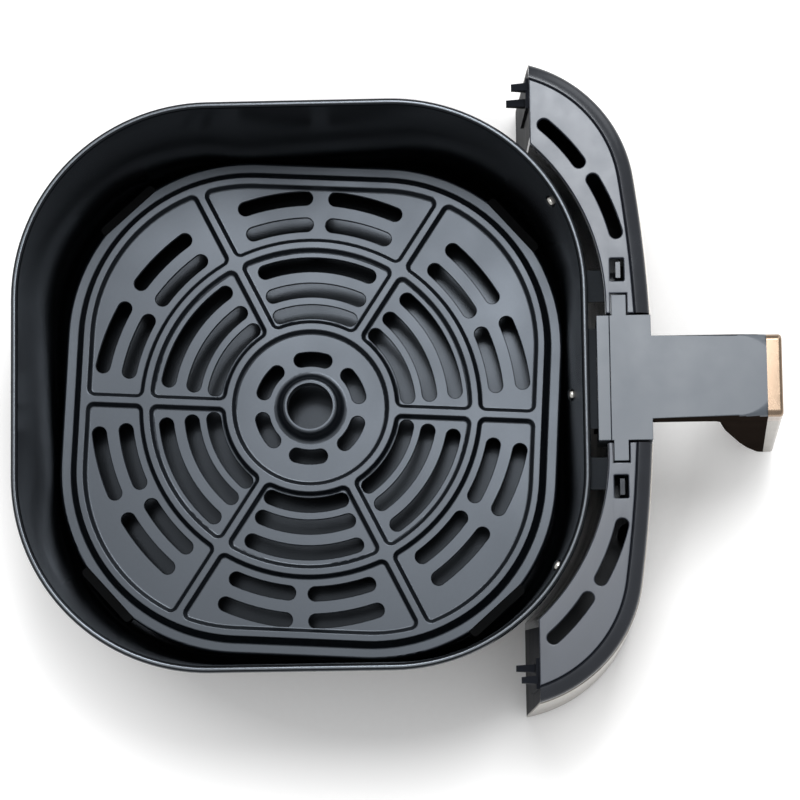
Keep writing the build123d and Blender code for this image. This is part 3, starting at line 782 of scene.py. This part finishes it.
def make_grip(sizes):
    """Arm underside and hanging grip: a side profile made solid, with rounded flanks."""
    back = [(y, z) for y, z in GRIP_SIDE]
    front = [(lean_at(FACE_BACK, z), z) for z in (3.4, 99.9)]
    outline = [(-154.6, 99.9), (-154.6, 92.0), (-176.0, 92.0), (-181.5, 91.6), (-184.0, 88.5)]
    outline += back[1:] + [(-203.6, 6.5), (-205.9, 3.6)] + front
    piece = flat_shape("grip", [outline], -ARM_HALF, ARM_HALF, 0.02, 0)
    piece.rotation_euler = (math.pi / 2, 0, math.pi / 2)
    bpy.ops.object.transform_apply(location=True, rotation=True, scale=True)
    bpy.ops.object.mode_set(mode="EDIT")
    bpy.ops.mesh.select_all(action="SELECT")
    bpy.ops.mesh.remove_doubles(threshold=0.06 * MM)
    bpy.ops.mesh.dissolve_limited(angle_limit=math.radians(1))

    def flank(edge):
        middle = middle_of(edge)
        across = abs(edge.verts[0].co.x - edge.verts[1].co.x)
        inside = middle.y < -156.0 and middle.z < 99.0
        return across < 0.001 and inside and middle.y > lean_at(FACE_BACK, middle.z) + 0.2

    sharp_edges(piece, 60.0, flank)
    round_edges(sizes.flank / MM, 6)
    flare(piece, sizes)
    close_up(piece, 40.0)
    return hand_over(
        piece, FINISH["grip_plastic"], "grip_plastic", "drawer", "handle_lower_shell"
    )


def make_face(name, low, high, sizes, finish, slot, node):
    """A piece of the handle's face: a slab that leans, its front rounded over, cut at its joint."""
    piece = block(name, (-ARM_HALF, ARM_HALF), (-215.0, -200.0), (3.0, 109.0))
    for line, outward in ((FACE_FRONT, -1), (FACE_BACK, 1)):
        (high_y, high_z), (low_y, low_z) = line
        normal = (0, outward * (high_z - low_z), -outward * (high_y - low_y))
        slice_off((0, high_y, high_z), normal)

    def end_corner(edge):
        middle = middle_of(edge)
        run = abs(edge.verts[0].co.y - edge.verts[1].co.y) > 0.003
        return run and abs(abs(middle.x) - ARM_HALF) < 0.1 and abs(middle.z - 56) > 50

    def front_loop(edge):
        middle = middle_of(edge)
        ahead = lean_at(FACE_BACK, middle.z) - middle.y
        run = abs(edge.verts[0].co.y - edge.verts[1].co.y) > 0.003
        return ahead > 4.0 and not (run and abs(middle.z - 56) > 50)

    sharp_edges(piece, 60.0, end_corner)
    round_edges(sizes.end_corner / MM, 6)
    sharp_edges(piece, 60.0, front_loop)
    round_edges(sizes.face_edge / MM, 5)
    for place, normal in ((low, -1), (high, 1)):
        slice_off((0, 0, place), (0, 0, normal))
    flare(piece, sizes)
    close_up(piece, 35.0)
    return hand_over(piece, finish, slot, "drawer", node)


# the finishes of this drawer

FINISH = {}


def make_finishes(colours):
    """Makes every finish once, and gives the CAD nodes that stay in sight theirs."""
    FINISH["pan_coating"] = sprayed_nonstick("ptfe_coating_pan", colours.pan, 2.1, 0.20, 0.38)
    # painted highlight: a lighter, glossier coating for the rim's crown than for the pan
    FINISH["rim_coating"] = sprayed_nonstick("ptfe_coating_rim", colours.rim, 1.4, 0.22, 1.0)
    FINISH["plate_coating"] = sprayed_nonstick("ptfe_coating_plate", colours.plate, 1.6, 0.34, 1.0)
    FINISH["painted_steel"] = sprayed_nonstick("black_painted_steel", colours.pan, 2.5, 0.45, 0.15)
    FINISH["cover_plastic"] = moulded_plastic("abs_cover", colours.cover, 1.4, 0.34, 0.9)
    FINISH["band_plastic"] = moulded_plastic("abs_band_gloss", colours.band, 1.45, 0.24)
    FINISH["shell_plastic"] = moulded_plastic("abs_shell_matte", colours.band, 1.3, 0.5, 0.03)
    FINISH["dark_plastic"] = moulded_plastic("abs_dark_gloss", colours.dark, 1.7, 0.18)
    FINISH["handle_plastic"] = moulded_plastic("abs_handle_satin", colours.handle, 1.3, 0.38, 0.9)
    FINISH["grip_plastic"] = moulded_plastic("abs_grip_satin", colours.grip, 1.5, 0.45, 0.0)
    FINISH["rose_gold"] = rose_gold_plating("rose_gold_plated_abs", colours.trim, 1.25)
    FINISH["chrome"] = polished_metal("nickel_plated_rivet", colours.rivets, 0.12)
    FINISH["steel"] = brushed_steel(
        "brushed_steel", colours.steel, 0.66, 0.30, (1.0, 1.0, 0.02)
    )
    FINISH["skin_steel"] = brushed_steel(
        "brushed_steel_skin", colours.skin, 0.66, 0.30, (0.012, 0.012, 1.0), 30.0
    )
    FINISH["silicone"] = moulded_silicone("silicone_rubber", colours.bumpers)
    nodes = {
        "crisper_plate": "plate_coating",
        "pan_bracket": "painted_steel",
        "bracket_screws": "steel",
        "fascia_shell": "shell_plastic",
        "fascia_skin": "skin_steel",
        "fascia_back_cover": "dark_plastic",
        "fascia_base_cover": "dark_plastic",
        "fascia_screws": "steel",
        "locator_right": "shell_plastic",
        "locator_left": "shell_plastic",
        "handle_core": "steel",
        "handle_screws": "steel",
        "plate_bumper_rear_right": "silicone",
        "plate_bumper_rear_left": "silicone",
        "plate_bumper_front_left": "silicone",
        "plate_bumper_front_right": "silicone",
    }
    for node, finish in nodes.items():
        mesh = CAD[node].data
        if not mesh.materials:
            mesh.materials.append(FINISH[finish])
        for number in range(len(mesh.materials)):
            mesh.materials[number] = FINISH[finish]


# the studio


def make_camera(studio):
    """A camera nearly overhead, with the handle to the right of the picture."""
    data = bpy.data.cameras.new("camera")
    data.lens = studio.lens
    data.sensor_width = 36.0
    data.clip_start, data.clip_end = 0.05, 20.0
    camera = bpy.data.objects.new("camera", data)
    bpy.context.scene.collection.objects.link(camera)
    eye, look = Vector(studio.eye), Vector(studio.look)
    forward = (look - eye).normalized()
    level = Vector((1, 0, 0)) - forward * forward.x
    level.normalize()
    across = forward.cross(level)
    up = level * math.cos(studio.roll) + across * math.sin(studio.roll)
    across = forward.cross(up)
    camera.matrix_world = Matrix.Translation(eye) @ Matrix((across, up, -forward)).transposed().to_4x4()
    bpy.context.scene.camera = camera


def make_lamp(name, place, aim, size, power, colour="#ffffff"):
    """A soft rectangular lamp that lights the drawer and doesn't show in other views."""
    data = bpy.data.lights.new(name, "AREA")
    data.shape = "RECTANGLE"
    data.size, data.size_y = size
    data.energy = power
    data.color = linear(colour)[:3]
    lamp = bpy.data.objects.new(name, data)
    bpy.context.scene.collection.objects.link(lamp)
    lamp.location = place
    lamp.rotation_euler = (Vector(aim) - Vector(place)).to_track_quat("-Z", "Y").to_euler()
    lamp.visible_camera = False


def make_studio(studio):
    """Pale table, soft overhead lamps, an even pale surround and the camera."""
    bpy.ops.object.select_all(action="DESELECT")
    bpy.ops.mesh.primitive_plane_add(size=8.0, location=(0, 0, cad_low.z - 0.0002))
    table = bpy.context.object
    table.name = "table"
    bpy.ops.object.transform_apply(location=True, rotation=True, scale=True)
    table.data.materials.append(white_board("laminated_white_board", "#fbfbfb"))
    world = bpy.data.worlds.new("surround")
    world.use_nodes = True
    world.node_tree.nodes["Background"].inputs["Color"].default_value = linear("#ffffff")
    world.node_tree.nodes["Background"].inputs["Strength"].default_value = studio.surround
    bpy.context.scene.world = world
    make_lamp("softbox", (0.60, -0.13, 1.66), (0.1, -0.02, 0.05), (0.50, 0.72), studio.softbox)
    make_lamp("side", (1.5, -1.1, 1.1), (0.0, -0.05, 0.05), (1.0, 1.2), studio.side)
    make_lamp("overhead", (0.15, -0.03, 1.95), (0.0, -0.05, 0.05), (1.2, 1.2), studio.fill)
    bpy.context.scene.view_settings.view_transform = "Standard"
    make_camera(studio)


# properties, operators and panel


class PanSizes(bpy.types.PropertyGroup):
    """Sizes of the pan."""

    wall: FloatProperty(
        name="Wall", description="Thickness of the pan's sheet", default=0.001, unit="LENGTH"
    )
    bead: FloatProperty(
        name="Rim", description="Width of the rolled rim", default=0.0032, unit="LENGTH"
    )
    draft: FloatProperty(
        name="Draft", description="Lean of the walls", default=math.radians(3.7), subtype="ANGLE"
    )
    floor_radius: FloatProperty(
        name="Floor radius", description="Rounding between wall and floor", default=0.012, unit="LENGTH"
    )
    corner_steps: IntProperty(
        name="Corner steps", description="Faces round each corner of the pan", default=32, min=8
    )


class PanelSizes(bpy.types.PropertyGroup):
    """Sizes of the front panel's trim."""

    band_width: FloatProperty(
        name="Band", description="Width of the crowned rim strip", default=0.0062, unit="LENGTH"
    )
    seam: FloatProperty(
        name="Seam", description="Gap between strip and cover", default=0.0003, unit="LENGTH"
    )
    edge: FloatProperty(
        name="Edge", description="Rounding of the covers' edges", default=0.0005, unit="LENGTH"
    )


class HandleSizes(bpy.types.PropertyGroup):
    """Sizes of the handle."""

    edge: FloatProperty(
        name="Edge", description="Rounding of the moulded edges", default=0.0006, unit="LENGTH"
    )
    shoulder: FloatProperty(
        name="Shoulder", description="How much the arm's edges roll off at the trim", default=5.0
    )
    flank: FloatProperty(
        name="Flank", description="Rounding of the grip's sides", default=0.003, unit="LENGTH"
    )
    flare: FloatProperty(
        name="Flare", description="Widening of the grip's foot, each side", default=0.0036, unit="LENGTH"
    )
    face_edge: FloatProperty(
        name="Face edge", description="Rounding of the face's front", default=0.0016, unit="LENGTH"
    )
    end_corner: FloatProperty(
        name="End corner", description="Rounding of the face's corners", default=0.003, unit="LENGTH"
    )


def colour_setting(name, description, value):
    """A colour that the user may change, given as an sRGB hex value."""
    return FloatVectorProperty(
        name=name,
        description=description,
        default=linear(value)[:3],
        subtype="COLOR",
        size=3,
        min=0.0,
        max=1.0,
    )


class FinishColours(bpy.types.PropertyGroup):
    """Colours of the finishes."""

    pan: colour_setting("Pan", "Coating of the pan", "#030405")
    # the rim's colour is a painted highlight along the crown of the rolled rim, lighter than the pan's coating
    rim: colour_setting("Rim", "Coating worn thin on the rolled rim", "#4d5053")
    plate: colour_setting("Plate", "Coating of the crisper plate", "#0b0e12")
    cover: colour_setting("Covers", "Plastic of the top covers", "#262a33")
    band: colour_setting("Strip", "Plastic of the crowned strip and shell", "#15171c")
    dark: colour_setting("Inner skirt", "Glossy plastic inside the front panel", "#0c1018")
    handle: colour_setting("Handle", "Plastic of the root and arm", "#3c4249")
    grip: colour_setting("Grip", "Plastic of the grip", "#1b1613")
    trim: colour_setting("Trim", "Plated end of the arm", "#847363")
    steel: colour_setting("Face", "Brushed face of the grip", "#a8a39c")
    skin: colour_setting("Panel skin", "Brushed skin of the front panel", "#98938c")
    rivets: colour_setting("Rivets", "Plated rivet heads", "#cfcdc8")
    bumpers: colour_setting("Bumpers", "Silicone of the plate's bumpers", "#08090a")


class StudioSettings(bpy.types.PropertyGroup):
    """Camera and light."""

    eye: FloatVectorProperty(
        name="Camera", description="Place of the camera", default=(-0.21498, -0.09479, 1.64484), subtype="XYZ"
    )
    look: FloatVectorProperty(
        name="Target", description="Point that the camera looks at", default=(-0.0016, -0.0424, 0.060), subtype="XYZ"
    )
    roll: FloatProperty(
        name="Roll", description="Turn of the picture", default=math.radians(0.791), subtype="ANGLE"
    )
    lens: FloatProperty(
        name="Lens", description="Focal length in millimetres", default=159.38
    )
    softbox: FloatProperty(
        name="Softbox", description="Power of the main lamp", default=15.0, unit="POWER"
    )
    fill: FloatProperty(
        name="Fill", description="Power of the broad overhead lamp", default=3.4, unit="POWER"
    )
    side: FloatProperty(
        name="Side", description="Power of the lamp beside the handle", default=8.0, unit="POWER"
    )
    surround: FloatProperty(
        name="Surround", description="Brightness of the pale surround", default=0.7
    )


GROUPS = {
    "drawer_colours": FinishColours,
    "drawer_pan": PanSizes,
    "drawer_panel": PanelSizes,
    "drawer_handle": HandleSizes,
    "drawer_studio": StudioSettings,
}


class DRAWER_OT_finishes(bpy.types.Operator):
    """Make the finishes and dress the CAD nodes that stay in sight"""

    bl_idname = "drawer.finishes"
    bl_label = "Finishes"

    def execute(self, context):
        make_finishes(context.scene.drawer_colours)
        return {"FINISHED"}


class DRAWER_OT_pan(bpy.types.Operator):
    """Make the pan with its rolled rim and its rivets"""

    bl_idname = "drawer.pan"
    bl_label = "Pan and rivets"

    def execute(self, context):
        sizes = context.scene.drawer_pan
        make_pan(sizes)
        make_rivets(sizes)
        return {"FINISHED"}


class DRAWER_OT_panel(bpy.types.Operator):
    """Make the front panel's covers and its crowned rim strips"""

    bl_idname = "drawer.panel"
    bl_label = "Front panel"

    def execute(self, context):
        for side in (1, -1):
            make_cover(side, context.scene.drawer_panel)
            make_band(side, context.scene.drawer_panel)
        return {"FINISHED"}


class DRAWER_OT_handle(bpy.types.Operator):
    """Make the handle: top, closing plate, grip and the two pieces of its face"""

    bl_idname = "drawer.handle"
    bl_label = "Handle"

    def execute(self, context):
        sizes = context.scene.drawer_handle
        make_handle_top(sizes)
        make_handle_back(sizes)
        make_grip(sizes)
        make_face("handle_trim", 92.1, 112.0, sizes, FINISH["rose_gold"], "rose_gold", "handle_cap")
        make_face("face_plate", 0.0, 91.9, sizes, FINISH["steel"], "steel", "handle_face_plate")
        return {"FINISHED"}


class DRAWER_OT_studio(bpy.types.Operator):
    """Make the table, the lamps and the camera"""

    bl_idname = "drawer.studio"
    bl_label = "Studio"

    def execute(self, context):
        make_studio(context.scene.drawer_studio)
        return {"FINISHED"}


OPERATORS = (
    DRAWER_OT_studio,
    DRAWER_OT_finishes,
    DRAWER_OT_pan,
    DRAWER_OT_panel,
    DRAWER_OT_handle,
)


class DRAWER_PT_panel(bpy.types.Panel):
    """Lists the steps and sizes of the drawer"""

    bl_idname = "DRAWER_PT_panel"
    bl_label = "Air fryer drawer"
    bl_space_type = "VIEW_3D"
    bl_region_type = "UI"
    bl_category = "Drawer"

    def draw(self, context):
        for group, kind in GROUPS.items():
            box = self.layout.box()
            for name in kind.__annotations__:
                box.prop(getattr(context.scene, group), name)
        for operator in OPERATORS:
            self.layout.operator(operator.bl_idname)


def register():
    for kind in (*GROUPS.values(), *OPERATORS, DRAWER_PT_panel):
        bpy.utils.register_class(kind)
    for name, kind in GROUPS.items():
        setattr(bpy.types.Scene, name, PointerProperty(type=kind))


def unregister():
    for name in GROUPS:
        delattr(bpy.types.Scene, name)
    for kind in reversed((*GROUPS.values(), *OPERATORS, DRAWER_PT_panel)):
        bpy.utils.unregister_class(kind)


def main():
    register()
    bpy.ops.drawer.studio()
    bpy.ops.drawer.finishes()
    bpy.ops.drawer.pan()
    bpy.ops.drawer.panel()
    bpy.ops.drawer.handle()


if __name__ == "__main__":
    main()
